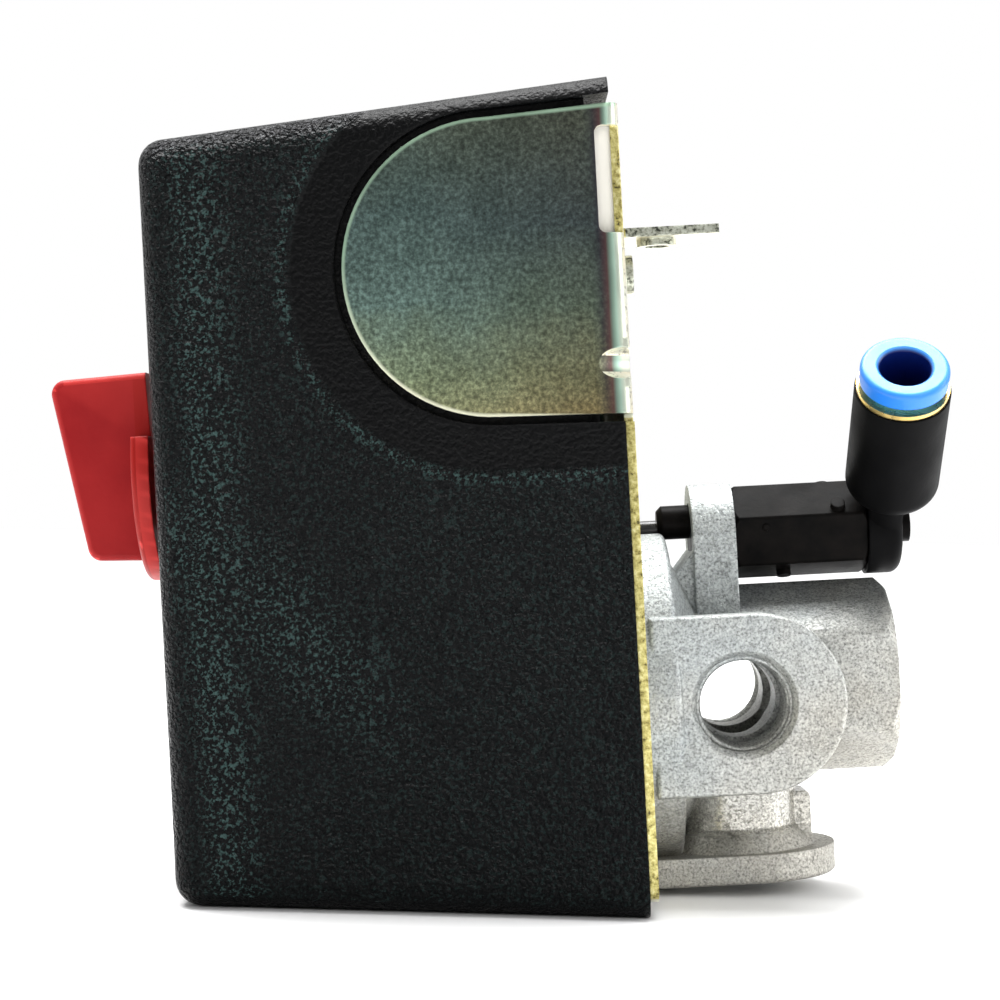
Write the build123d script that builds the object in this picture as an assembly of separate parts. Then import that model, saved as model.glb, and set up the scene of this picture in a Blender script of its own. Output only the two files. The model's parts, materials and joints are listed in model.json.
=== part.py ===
from build123d import *
import math
import os

# Air-compressor pressure switch with a four-way manifold, an unloader valve and a
# lever knob. Millimetres. Origin: centre of the tank port's mouth. +X leaves the
# tank port, +Z is up, +Y points to the side with the cord entry.

# ---- driving dimensions -------------------------------------------------------
SHEET = 1.2                    # base sheet thickness
BASE_X = -35.7                 # outer face of the base plate
BASE_Z0, BASE_Z1 = -26.3, 78.2
BASE_HALF = 30.0               # half width over the side flanges
FLANGE_R = 19.5                # round end of the D-shaped side flanges
FLANGE_X, FLANGE_Z = -53.2, BASE_Z1 - FLANGE_R - 1.1
CORD_R = 11.1                  # 7/8 inch cord entry

DEPTH = 62.2                   # cover depth
RIM_Z0, RIM_Z1, RIM_HALF = BASE_Z0 - 1.9, BASE_Z1 + 3.7, BASE_HALF + 1.5
TAPER_LOW, TAPER_TOP, TAPER_SIDE = 4.3, 4.9, 3.5
WALL = 2.8
D_GAP = 1.1                    # cut-out in the cover round the side flange
BAND, BAND_DEEP = 6.2, 1.4     # recessed band round that cut-out
BAND_STEPS = ((0.0, 0.3, 70.0), (0.75, 0.7, 52.0), (1.35, 1.0, 30.0))

PORT_X, PORT_Z = -22.5, -1.7   # crossing of the side ports and the body
PAD_Y, PAD_T, PAD_HALF, PAD_OUT = 22.0, 4.0, 12.1, 1.7
BOTTOM_Z = -27.4
NPT_R, NPT_LONG, DRILL_R = 6.5, 13.5, 5.4
CHAMFER_R = 7.2
HEX_AF, HEX_LONG = 24.0, 21.0
DISC_R, DISC_T = 23.2, 5.0
CORE_R = 13.3

VALVE_AF = 11.8
VALVE_Z = 0.5774 * (HEX_AF + VALVE_AF) + 0.23    # valve's axis, clear of the hexagon
VALVE_TURN = 13.0              # lean of the valve's hexagon
NECK_R, NECK_Z = 2.4, VALVE_Z + 1.9
PIN_R, PIN_Z = 1.2, VALVE_Z + 1.1
TURN = 46.0                    # lean of the outlet towards the viewer's side
OUT_X = 1.2                    # outlet axis along X
TUBE_R = 3.45

PIVOT_X, PIVOT_Z = -47.0, 12.0
STUD_Z = -13.5
PISTON_R = 6.4
KNOB_Z = 32.9
CRANK = 2.5
POST_Y, POST_Z = 19.0, -1.7
BLOCK_Z = FLANGE_Z - 0.6        # screws of the terminal block
DART_R, DART_DEEP = 2.0, 3.0   # stiffening darts across the bends
TAB_WIDE, BAR = 12.6, 2.0      # lanced tab, bar left beside its window

RUN = 0.05                     # radial running clearance
GAP = 0.3                      # free clearance between moving parts

BASE_IN = BASE_X - SHEET
CLOSED_X = BASE_IN - DEPTH
CLOSED_IN = CLOSED_X + WALL


# ---- helpers ------------------------------------------------------------------
def cyl(r, x0, x1, y=0.0, z=0.0):
    """Cylinder along X from x0 to x1."""
    return Pos((x0 + x1) / 2, y, z) * Rot(0, 90, 0) * Cylinder(r, abs(x1 - x0))


def cyl_y(r, y0, y1, x=0.0, z=0.0):
    return Pos(x, (y0 + y1) / 2, z) * Rot(90, 0, 0) * Cylinder(r, abs(y1 - y0))


def cyl_z(r, z0, z1, x=0.0, y=0.0):
    return Pos(x, y, (z0 + z1) / 2) * Cylinder(r, abs(z1 - z0))


def cone(r0, r1, x0, x1, y=0.0, z=0.0):
    """Cone along X: radius r0 at x0 and r1 at x1, with x0 below x1."""
    return Pos((x0 + x1) / 2, y, z) * Rot(0, 90, 0) * Cone(r0, r1, x1 - x0)


def box(x0, x1, y0, y1, z0, z1):
    return Pos((x0 + x1) / 2, (y0 + y1) / 2, (z0 + z1) / 2) * Box(
        abs(x1 - x0), abs(y1 - y0), abs(z1 - z0))


def hexagon(af, x0, x1, y=0.0, z=0.0, turn=0.0):
    """Hexagonal prism along X with flats facing Y when turn is 0."""
    face = RegularPolygon(af / 2 / math.cos(math.pi / 6), 6, rotation=30 + turn)
    plane = Plane(origin=(x0, y, z), x_dir=(0, 1, 0), z_dir=(1, 0, 0))
    return extrude(plane * face, x1 - x0)


def coil(mean_r, wire_r, x0, x1, turns, y, z):
    """Open helical spring along X."""
    long = x1 - x0 - 2 * wire_r
    path = Helix(pitch=long / turns, height=long, radius=mean_r)
    start = Plane(origin=path @ 0, z_dir=path % 0)
    body = sweep(start * Circle(wire_r), path=path)
    return Pos(x0 + wire_r, y, z) * Rot(0, 90, 0) * body


def pan_screw(shank_r, head_r, head_t, x_seat, x_tip, y, z):
    """Cross-recess screw along X, head towards -X, driven towards +X."""
    shape = cyl(shank_r, x_seat - 0.2, x_tip, y, z)
    head = cyl(head_r, x_seat - head_t, x_seat, y, z)
    head = fillet(head.edges().group_by(Axis.X)[0], head_t * 0.35)
    for a in (0, 90):
        slot = Rot(a, 0, 0) * Box(head_t * 1.1, head_r * 1.1, head_r * 0.26)
        head -= Pos(x_seat - head_t, y, z) * slot
    return shape + head


# ---- base and side flanges ----------------------------------------------------
def band_cut(s):
    """Recess with sloping sides and a rounded floor edge, round one side flange."""
    lean = math.atan2(TAPER_SIDE, DEPTH)
    plane = Plane(origin=(BASE_IN, s * RIM_HALF, 0),
                  x_dir=(-math.cos(lean), -s * math.sin(lean), 0),
                  z_dir=(math.sin(lean), -s * math.cos(lean), 0))
    past = 60.0
    centre = Pos(BASE_IN - FLANGE_X, -s * FLANGE_Z)
    tool = None
    for set_in, deep, slope in BAND_STEPS:
        reach = FLANGE_R + D_GAP + BAND - set_in
        outline = Circle(reach) + Pos(-past / 2, 0) * Rectangle(past, 2 * reach)
        step = extrude(plane * (centre * outline), deep * BAND_DEEP, taper=slope)
        tool = step if tool is None else tool + step
    return tool


def flange_outline(grow=0.0):
    """The D outline in XZ, made as a solid slab through all Y."""
    top = FLANGE_Z + FLANGE_R
    pts = [(BASE_X + 5, BASE_Z1 + grow), (BASE_IN, BASE_Z1 + grow), (FLANGE_X, top + grow),
           (FLANGE_X, FLANGE_Z - FLANGE_R - grow), (BASE_X + 5, FLANGE_Z - FLANGE_R - 0.5 - grow)]
    plane = Plane(origin=(0, 60, 0), x_dir=(1, 0, 0), z_dir=(0, -1, 0))
    slab = extrude(plane * make_face(Polyline(*pts, close=True)), 120)
    return slab + cyl_y(FLANGE_R + grow, -60, 60, FLANGE_X, FLANGE_Z)


def base_frame():
    low = FLANGE_Z - FLANGE_R - 0.6
    r_out = 2.0
    outer = box(FLANGE_X - FLANGE_R - 5, BASE_X, -BASE_HALF, BASE_HALF, low, BASE_Z1)
    outer = fillet([e for e in outer.edges().filter_by(Axis.Z) if e.center().X > BASE_X - 0.1], r_out)
    inner = box(FLANGE_X - FLANGE_R - 9, BASE_IN, SHEET - BASE_HALF, BASE_HALF - SHEET,
                low - 1, BASE_Z1 + 1)
    inner = fillet([e for e in inner.edges().filter_by(Axis.Z) if e.center().X > BASE_IN - 0.1],
                   r_out - SHEET)
    channel = (outer - inner) & flange_outline()
    plate = box(BASE_IN, BASE_X, -BASE_HALF, BASE_HALF, BASE_Z0, low - 0.9)
    plate = fillet(plate.edges().filter_by(Axis.X).group_by(Axis.Z)[0], 2.5)
    neck = box(BASE_IN, BASE_X, 3 - BASE_HALF, BASE_HALF - 3, low - 2, low + 2)
    body = channel + plate + neck
    # notch through both bends beside the window
    tab_z, tab_x = FLANGE_Z + 3.3, BASE_X + 12.6
    z0, z1 = tab_z + 0.4, tab_z + 14.4
    edge = BASE_HALF - 1.4
    for s in (-1, 1):
        notch = box(BASE_X - 3.3, BASE_IN, s * (edge - 1.4), s * (BASE_HALF + 1), z0, z1)
        notch = fillet(notch.edges().filter_by(Axis.Y).group_by(Axis.X)[0], 1.0)
        body -= notch
        body -= box(BASE_IN - 0.1, BASE_X + 1, s * edge, s * (BASE_HALF + 1), z0, z1)
    # window with its lanced tab, hinged at the window's lower edge
    y0 = BAR - edge
    y1 = y0 + TAB_WIDE
    body -= box(BASE_IN - 0.1, BASE_X + 1, y0, y1, z0, z1)
    tab = box(BASE_IN, tab_x, y0, y1, tab_z, tab_z + SHEET)
    tab = chamfer([e for e in tab.edges().filter_by(Axis.Z) if e.center().X > tab_x - 0.1
                   and e.center().Y > y1 - 0.1], 4.0)
    hole_x, hole_y = BASE_X + 4.6, y0 + 4.4
    tab += cyl_z(2.65, tab_z - 1.0, tab_z + SHEET, hole_x, hole_y)
    tab -= cyl_z(1.65, tab_z - 2, tab_z + SHEET + 1, hole_x, hole_y)
    body += tab
    # extruded tapped collars for the earth screw and its twin
    for s in (-1, 1):
        body += cyl(2.65, BASE_IN, BASE_X + 1.2, 22 * s, FLANGE_Z - 1.3)
        body -= cyl(1.65, BASE_IN - 1, BASE_X + 2, 22 * s, FLANGE_Z - 1.3)
    # stiffening darts pressed across both bends: a groove outside, its shell inside
    for s in (-1, 1):
        inset = (DART_DEEP - DART_R) / math.sqrt(2)
        spine = Pos(BASE_X - inset, s * (BASE_HALF - inset), FLANGE_Z - 13.3) * Rot(0, 0, 45 * s)
        spine = spine * Rot(90, 0, 0)
        room = box(BASE_X - 7, BASE_X - 0.3, s * (BASE_HALF - 7), s * (BASE_HALF - 0.3),
                   FLANGE_Z - 20, FLANGE_Z - 7)
        body += spine * Cylinder(DART_R + SHEET, 8.4) & room
        body -= spine * Cylinder(DART_R, 16)
    # cord entry in the far flange, piston and valve pin openings, screw holes
    body -= cyl_y(CORD_R, 20, 40, FLANGE_X, FLANGE_Z)
    body -= cyl(PISTON_R + GAP, BASE_IN - 3, BASE_X + 1, 0, PORT_Z)
    body -= cyl(PIN_R + 0.45, BASE_IN - 3, BASE_X + 1, 0, PIN_Z)
    for y, z in screw_circle():
        body -= cyl(2.0 + RUN, BASE_IN - 1, BASE_X + 1, y, z)
    for y in (-10, 10):
        body -= cyl(1.75 + RUN, BASE_IN - 1, BASE_X + 1, y, BLOCK_Z)
    return body


def screw_circle():
    return [(sy * 15.5, PORT_Z + sz * 11.0) for sy in (-1, 1) for sz in (-1, 1)]


# ---- die-cast manifold --------------------------------------------------------
def pad_outline(depth):
    """Round-ended pad in local XY about the port axis, thickened by depth."""
    left = BASE_X + 1.0 - PORT_X
    long = PAD_OUT - left
    shape = Pos(PAD_OUT, 0) * Circle(PAD_HALF)
    shape += Pos(left + long / 2, 0) * Rectangle(long, 2 * PAD_HALF)
    return extrude(shape & Pos(left + PAD_HALF * 2, 0) * Rectangle(PAD_HALF * 4, PAD_HALF * 2), depth)


def manifold():
    disc = cyl(DISC_R, BASE_X, BASE_X + DISC_T, 0, PORT_Z)
    disc = fillet(disc.edges().group_by(Axis.X)[-1], 1.0)
    hub = cone(DISC_R - 2.4, 14.0, BASE_X + DISC_T - 0.4, BASE_X + DISC_T + 3.2, 0, PORT_Z)
    core = cyl(CORE_R, BASE_X + DISC_T, 1 - HEX_LONG, 0, PORT_Z)
    nut = hexagon(HEX_AF, -HEX_LONG, 0)
    crown = Pos(-HEX_LONG / 2, 0, 0) * Rot(0, 90, 0) * Cylinder(HEX_AF / 2 / math.cos(math.pi / 6)
                                                                - 0.35, HEX_LONG)
    crown = chamfer(crown.edges().group_by(Axis.X)[-1], 1.2)
    nut = nut & crown
    body = disc + hub + core + nut
    for s in (-1, 1):
        pipe = cyl_y(9.6, 0, s * (PAD_Y - 1), PORT_X, PORT_Z)
        plane = Plane(origin=(PORT_X, s * (PAD_Y - PAD_T), PORT_Z), x_dir=(1, 0, 0), z_dir=(0, s, 0))
        pad = plane * pad_outline(PAD_T)
        pad = fillet(pad.edges().group_by(Axis.Y)[-1 if s > 0 else 0], 0.6)
        body = body + pipe + pad
    plane = Plane(origin=(PORT_X, 0, BOTTOM_Z + PAD_T), x_dir=(1, 0, 0), z_dir=(0, 0, -1))
    pad = plane * pad_outline(PAD_T)
    pad = fillet(pad.edges().group_by(Axis.Z)[0], 0.6)
    body = body + pad + cyl_z(8.7, BOTTOM_Z + 1, PORT_Z, PORT_X, 0)
    # lug on the bottom pad's round end
    lug = box(PORT_X + 5, PORT_X + 10.4, -3.2, 3.2, BOTTOM_Z + 1.5, PORT_Z - 14.3)
    body += fillet(lug.edges().filter_by(Axis.Y).group_by(Axis.Z)[-1].sort_by(Axis.X)[-1], 0.8)
    # flare where the bottom branch meets the pad
    flare = Pos(PORT_X, 0, BOTTOM_Z + PAD_T + 1.4) * Cone(11.2, 8.7, 3.4)
    body += flare
    # ear that carries the unloader valve
    ear = cyl(7.1, BASE_X + 8.7, BASE_X + 14.7, 0, VALVE_Z)
    ear += box(BASE_X + 8.7, BASE_X + 14.7, -7.1, 7.1, PORT_Z, VALVE_Z)
    plane = Plane(origin=(0, 6.0, 0), x_dir=(1, 0, 0), z_dir=(0, -1, 0))
    pts = [(BASE_X + 3.4, PORT_Z + 6), (BASE_X + 3.4, VALVE_Z - 8.6), (BASE_X + 8.8, VALVE_Z - 2),
           (BASE_X + 8.8, PORT_Z + 6)]
    ear += extrude(plane * make_face(Polyline(*pts, close=True)), 12)
    body += ear
    # pressure ways
    body -= cyl(NPT_R, -NPT_LONG, 1)
    body -= cyl(DRILL_R, PORT_X, -NPT_LONG + 0.1)
    for s in (-1, 1):
        body -= cyl_y(NPT_R, s * (PAD_Y - 11.5), s * (PAD_Y + 1), PORT_X, PORT_Z)
        body -= cyl_y(DRILL_R, 0, s * PAD_Y, PORT_X, PORT_Z)
        rim = Plane(origin=(PORT_X, s * (PAD_Y - 0.8), PORT_Z), x_dir=(1, 0, 0), z_dir=(0, s, 0))
        body -= rim * Pos(0, 0, 0.45) * Cone(NPT_R, CHAMFER_R + 0.1, 0.9)
    body -= cyl_z(NPT_R, BOTTOM_Z - 1, BOTTOM_Z + 11.5, PORT_X, 0)
    body -= cyl_z(DRILL_R, BOTTOM_Z, PORT_Z, PORT_X, 0)
    body -= Pos(PORT_X, 0, BOTTOM_Z + 0.35) * Cone(CHAMFER_R + 0.1, NPT_R, 0.9)
    body -= cyl(4.0, BASE_X, PORT_X, 0, PORT_Z)
    # diaphragm pocket with the chamber behind it
    body -= cyl(15.3, BASE_X - 1, BASE_X + 1.5, 0, PORT_Z)
    body -= cyl(11.0, BASE_X, BASE_X + 3.0, 0, PORT_Z)
    # way for the valve pin and neck, thread for the valve
    body -= cyl(NECK_R + GAP, BASE_X - 1, BASE_X + 9, 0, NECK_Z)
    body -= cyl(4.0 + RUN, BASE_X + 8.6, BASE_X + 15, 0, VALVE_Z)
    for y, z in screw_circle():
        body -= cyl(2.0 + RUN, BASE_X - 1, BASE_X + 4.2, y, z)
    return body


def diaphragm():
    body = cyl(15.2, BASE_X + 0.02, BASE_X + 1.48, 0, PORT_Z)
    groove = Pos(BASE_X + 0.02, 0, PORT_Z) * Rot(0, 90, 0) * Torus(9.6, 0.5)
    return body - groove


def manifold_screws():
    return [pan_screw(2.0, 3.6, 2.6, BASE_IN, BASE_X + 3.9, y, z) for y, z in screw_circle()]


# ---- lever mechanism ----------------------------------------------------------
def rocker_bracket():
    foot = box(BASE_IN - SHEET, BASE_IN, -10.4, 10.4, PIVOT_Z - 4.2, PIVOT_Z + 4.6)
    body = foot
    for s in (-1, 1):
        arm = box(PIVOT_X - 3.6, BASE_IN, s * 9.2, s * 10.4, PIVOT_Z - 4.2, PIVOT_Z + 4.6)
        arm = fillet(arm.edges().filter_by(Axis.Y).group_by(Axis.X)[0], 3.2)
        body += arm
    return body - cyl_y(1.5 + 0.02, -12, 12, PIVOT_X, PIVOT_Z)


def rocker_pin():
    pin = cyl_y(1.5, -11.6, 11.6, PIVOT_X, PIVOT_Z)
    for s in (-1, 1):
        pin += cyl_y(2.4, s * 10.5, s * 11.7, PIVOT_X, PIVOT_Z)
    return pin


def rocker():
    face = PIVOT_X + 2.5
    back = face - 2.0
    plane = Plane(origin=(back, 0, 0), x_dir=(0, 1, 0), z_dir=(1, 0, 0))
    low, top = STUD_Z - 8.5, KNOB_Z + 5.9
    pts = [(-8, low), (8, low), (8, PIVOT_Z + 7), (3, PIVOT_Z + 14), (3, top), (-3, top),
           (-3, PIVOT_Z + 14), (-8, PIVOT_Z + 7)]
    body = extrude(plane * make_face(Polyline(*pts, close=True)), 2.0)
    for s in (-1, 1):
        ear = box(PIVOT_X - 3.2, face, s * 6.8, s * 8, PIVOT_Z - 5, PIVOT_Z + 5)
        ear = fillet(ear.edges().filter_by(Axis.Y).group_by(Axis.X)[0], 3.0)
        body += ear
    body -= cyl_y(1.5 + RUN, -12, 12, PIVOT_X, PIVOT_Z)
    body -= cyl(4.2, back - 1, face + 1, 0, STUD_Z)
    return body


def piston():
    tip = PIVOT_X + 2.5 + GAP
    body = cyl(PISTON_R, BASE_IN - 1.5, BASE_X - 0.1, 0, PORT_Z)
    body += cyl(4.0, tip + 1.2, BASE_IN - 1.4, 0, PORT_Z)
    dome = cyl(4.0, tip, tip + 1.3, 0, PORT_Z)
    dome = fillet(dome.edges().group_by(Axis.X)[0], 1.1)
    return body + dome


def range_stud():
    return cyl(3.0, BASE_IN - 52.5, BASE_IN, 0, STUD_Z) + cyl(4.7, BASE_IN - 1.5, BASE_IN, 0, STUD_Z)


def range_spring():
    x0 = BASE_IN - 46.0
    return coil(6.4, 1.1, x0 + 0.05, PIVOT_X + 0.5 - GAP, 7.5, 0, STUD_Z)


def spring_seat():
    x0 = BASE_IN - 46.0
    body = cyl(8.0, x0 - 1.6, x0, 0, STUD_Z) + cyl(4.9, x0, x0 + 3.0, 0, STUD_Z)
    return body - cyl(3.0 + 0.1, x0 - 3, x0 + 5, 0, STUD_Z)


def range_nut():
    x0 = BASE_IN - 46.0 - 1.6 - 0.05
    nut = hexagon(11.0, x0 - 4.6, x0, 0, STUD_Z, 30)
    ball = Pos(x0 - 2.3, 0, STUD_Z) * Rot(0, 90, 0) * Cylinder(6.2, 4.6)
    ball = chamfer(ball.edges(), 0.6)
    return (nut & ball) - cyl(3.0 + RUN, x0 - 8, x0 + 1, 0, STUD_Z)


def cover_post():
    post = hexagon(7.0, CLOSED_IN + 0.2, BASE_IN, POST_Y, POST_Z)
    return post - cyl(2.0 + RUN, CLOSED_IN - 1, CLOSED_IN + 14, POST_Y, POST_Z)


# ---- electrical side ----------------------------------------------------------
POLES = (-17.0, -5.0, 5.0, 17.0)
BLOCK_X0, BLOCK_X1 = -62.0, -54.0
CONTACT_Z = KNOB_Z + 14.6
SCREW_Z = FLANGE_Z + 8.4


def terminal_block():
    z0, z1 = KNOB_Z + 10.6, BASE_Z1 - 4.2
    body = box(BLOCK_X0, BLOCK_X1, -24.5, 24.5, z0, z1)
    for y in (-24.0, -11.0, 0.0, 11.0, 24.0):
        body += box(BLOCK_X0 - 4, BLOCK_X0, y - 0.6, y + 0.6, SCREW_Z - 7, z1)
    for s in (-1, 1):
        body += box(BLOCK_X1, BASE_IN, s * 7.3, s * 12.7, BLOCK_Z - 3.5, BLOCK_Z + 3.5)
        body += box(BLOCK_X1, PIVOT_X + 6, s * 19.8, s * 22.5, z0, z0 + 9.5)
        # C-shaped guides for the trip slide
        rail = box(BLOCK_X0 - 6, BLOCK_X0, s * 7.2, s * 11.4, KNOB_Z - 3, z0 + 7)
        rail -= box(BLOCK_X0 - 4 - GAP, BLOCK_X0 - 2 + GAP, s * 5, s * (9 + GAP),
                    KNOB_Z - 4, z0 + 8)
        rail += box(BLOCK_X0, BLOCK_X0 + 2, s * 7.2, s * 11.4, KNOB_Z - 3, z0 + 1)
        body += rail
        body -= cyl(1.75 + RUN, BLOCK_X0 - 1, BASE_X, s * 10, BLOCK_Z)
        body -= cyl(3.4, BLOCK_X0 - 1, BLOCK_X0 + 2.6, s * 10, BLOCK_Z)
    for y in POLES:
        body -= cyl(1.75 + RUN, BLOCK_X0 - 1, BLOCK_X1 + 1, y, SCREW_Z)
    return body


def fixed_contacts():
    out = []
    for y in POLES:
        bar = box(BLOCK_X1, BLOCK_X1 + 1, y - 2.1, y + 2.1, CONTACT_Z - 3, SCREW_Z - 3.2)
        bar += box(BLOCK_X1, BLOCK_X1 + 1, y - 1.9, y + 1.9, SCREW_Z - 3.3, SCREW_Z + 3)
        bar += cyl(2.0, BLOCK_X1 + 1, BLOCK_X1 + 2.8, y, CONTACT_Z)
        out.append(bar - cyl(1.75 + RUN, BLOCK_X1 - 1, BLOCK_X1 + 2, y, SCREW_Z))
    return out


def clamp_plates():
    out = []
    for y in POLES:
        plate = box(BLOCK_X0 - 1.0, BLOCK_X0, y - 3.6, y + 3.6, SCREW_Z - 3.8, SCREW_Z + 3.8)
        plate = fillet(plate.edges().filter_by(Axis.X), 0.6)
        out.append(plate - cyl(1.75 + RUN, BLOCK_X0 - 2, BLOCK_X0 + 1, y, SCREW_Z))
    return out


def terminal_screws():
    return [pan_screw(1.75, 3.2, 2.3, BLOCK_X0 - 1.0, BLOCK_X1 + 0.9, y, SCREW_Z) for y in POLES]


def block_screws():
    return [pan_screw(1.75, 3.1, 2.0, BLOCK_X0 + 2.6, BASE_X, y, BLOCK_Z) for y in (-10, 10)]


def earth_screw():
    return pan_screw(1.6, 3.4, 2.2, BASE_IN, BASE_X + 1.1, 22, FLANGE_Z - 1.3)


def contact_carriage():
    x0, x1 = PIVOT_X - 2.5, PIVOT_X + 5.5
    z0 = KNOB_Z + 3.6
    body = box(x0, x1, -13, 13, z0, z0 + 5.4)
    body += box(x0, x0 + 2.0, -19, 19, z0 + 4.4, z0 + 15.4)
    body -= box(PIVOT_X + 0.5 - GAP, PIVOT_X + 2.5 + GAP, -3.6, 3.6, z0 - 1, z0 + 3.2)
    for s in (-1, 1):
        body -= cyl(1.2, x0 - 1, x0 + 4, s * 11, CONTACT_Z)
    return body


def bridge_contacts():
    out = []
    x1 = PIVOT_X - 2.5
    for s in (-1, 1):
        bar = box(x1 - 1.0, x1, s * 2.6, s * 19.0, CONTACT_Z - 2.4, CONTACT_Z + 2.4)
        for y in (5, 17):
            bar += cyl(1.9, BLOCK_X1 + 2.9, x1 - 0.9, s * y, CONTACT_Z)
        bar += cyl(1.15, x1 - 0.1, x1 + 2.0, s * 11, CONTACT_Z)
        out.append(bar)
    return out


def trip_slide():
    x0, x1 = BLOCK_X0 - 4, BLOCK_X0 - 2
    body = box(x0, x1, -9, 9, KNOB_Z - 6, KNOB_Z + 8)
    tooth_x = PIVOT_X - 2.5 - 0.5
    body += box(x0, tooth_x, -3, 3, KNOB_Z - 6, KNOB_Z - 3.4)
    tooth = box(tooth_x - 2, tooth_x, -3, 3, KNOB_Z - 4, KNOB_Z + 3.2)
    tooth = chamfer([e for e in tooth.edges().filter_by(Axis.Y) if e.center().Z > KNOB_Z + 3
                     and e.center().X > tooth_x - 0.1], 1.2)
    body += tooth
    slot = box(x0 - 1, x1 + 1, -1.2 - 0.7, CRANK + 1.2 + 0.7, KNOB_Z - 1.95, KNOB_Z + 1.95)
    return body - slot


# ---- knob and its shaft -------------------------------------------------------
def knob():
    hub = cyl(7.0, CLOSED_X - 2.4, CLOSED_X - 0.4, 0, KNOB_Z)
    base = cyl(14.5, CLOSED_X - 4.9, CLOSED_X - 2.3, 0, KNOB_Z)
    base = fillet(base.edges().group_by(Axis.X)[0], 0.9)
    base &= box(CLOSED_X - 9, CLOSED_X, -20, 20, KNOB_Z - 20, KNOB_Z + 5.7)
    plane = Plane(origin=(0, 4.6, 0), x_dir=(1, 0, 0), z_dir=(0, -1, 0))
    tip_hi, tip_lo = CLOSED_X - 17.4, CLOSED_X - 12.7
    pts = [(CLOSED_X - 3.2, KNOB_Z - 11.6), (tip_lo, KNOB_Z - 11.2), (tip_hi, KNOB_Z + 14.4),
           (CLOSED_X - 3.6, KNOB_Z + 15.0), (CLOSED_X - 3.2, KNOB_Z + 5.0)]
    wing = extrude(plane * make_face(Polyline(*pts, close=True)), 9.2)
    corners = [e for e in wing.edges().filter_by(Axis.Y)
               if e.center().X < CLOSED_X - 10]
    wing = fillet(corners, 2.0)
    side = [e for e in wing.edges() if abs(abs(e.center().Y) - 4.6) < 0.05
            and (e.center().X < CLOSED_X - 10 or e.center().Z > KNOB_Z + 13)]
    wing = fillet(side, 0.9)
    body = hub + base + wing
    return body - box(CLOSED_X - 9, CLOSED_X, -2.52, 2.52, KNOB_Z - 2.52, KNOB_Z + 2.52)


def cam_shaft():
    x_in = BLOCK_X0 - 4 - 2.6
    body = cyl(4.0, x_in, CLOSED_X - 0.4, 0, KNOB_Z)
    body += box(CLOSED_X - 8.9, CLOSED_X - 0.3, -2.5, 2.5, KNOB_Z - 2.5, KNOB_Z + 2.5)
    body += cyl(5.6, x_in - 0.1, x_in + 2.0, 0, KNOB_Z)
    body += cyl(1.2, x_in + 1.9, BLOCK_X0 - 1.2, CRANK, KNOB_Z)
    collar = cyl(5.6, CLOSED_IN + 0.2, CLOSED_IN + 1.6, 0, KNOB_Z)
    return body + collar


# ---- cover --------------------------------------------------------------------
def cover_block(inset, x0, x1, corner):
    """Drafted block between x0 and x1, set in from the outer skin by inset."""
    faces = []
    for x in (x1, x0):
        t = (BASE_IN - x) / DEPTH
        z0, z1 = RIM_Z0 + TAPER_LOW * t + inset, RIM_Z1 - TAPER_TOP * t - inset
        half = RIM_HALF - TAPER_SIDE * t - inset
        plane = Plane(origin=(x, 0, (z0 + z1) / 2), x_dir=(0, 1, 0), z_dir=(1, 0, 0))
        faces.append(plane * RectangleRounded(2 * half, z1 - z0, corner))
    return loft(faces)


def cover():
    rim = BASE_IN - 0.05
    skin = cover_block(0, CLOSED_X, rim, 4.0)
    skin = fillet(skin.faces().sort_by(Axis.X)[0].edges(), 3.4)
    for s in (-1, 1):
        skin -= band_cut(s)
    body = skin - cover_block(WALL, CLOSED_IN, rim + 5, 2.0)
    body -= flange_outline(D_GAP)
    # ledge behind the side flanges, which closes the slit round each
    room = box(CLOSED_IN, BASE_IN - 3.2, -40, 40, -40, 90) & cover_block(0.8, CLOSED_X, rim + 1, 2.0)
    ledge = (flange_outline(D_GAP + 1) - flange_outline(-1.8)) & room
    for s in (-1, 1):
        y_out, y_in = s * (BASE_HALF - SHEET - 0.4), s * (BASE_HALF - SHEET - 2.0)
        body += ledge & box(-100, 0, y_in, y_out, -40, 90)
    # shaft boss and hole, screw hole
    body += cyl(7.5, CLOSED_X + 1, CLOSED_IN, 0, KNOB_Z)
    body -= cyl(4.0 + RUN, CLOSED_X - 1, CLOSED_IN + 1, 0, KNOB_Z)
    body -= cyl(2.3, CLOSED_X - 1, CLOSED_IN + 1, POST_Y, POST_Z)
    return body


def cover_screw():
    return pan_screw(2.0, 4.0, 2.6, CLOSED_X, CLOSED_IN + 12, POST_Y, POST_Z)


# ---- unloader valve and push-in elbow -----------------------------------------
VALVE_X0, VALVE_X1 = BASE_X + 14.8, -2.4


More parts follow.
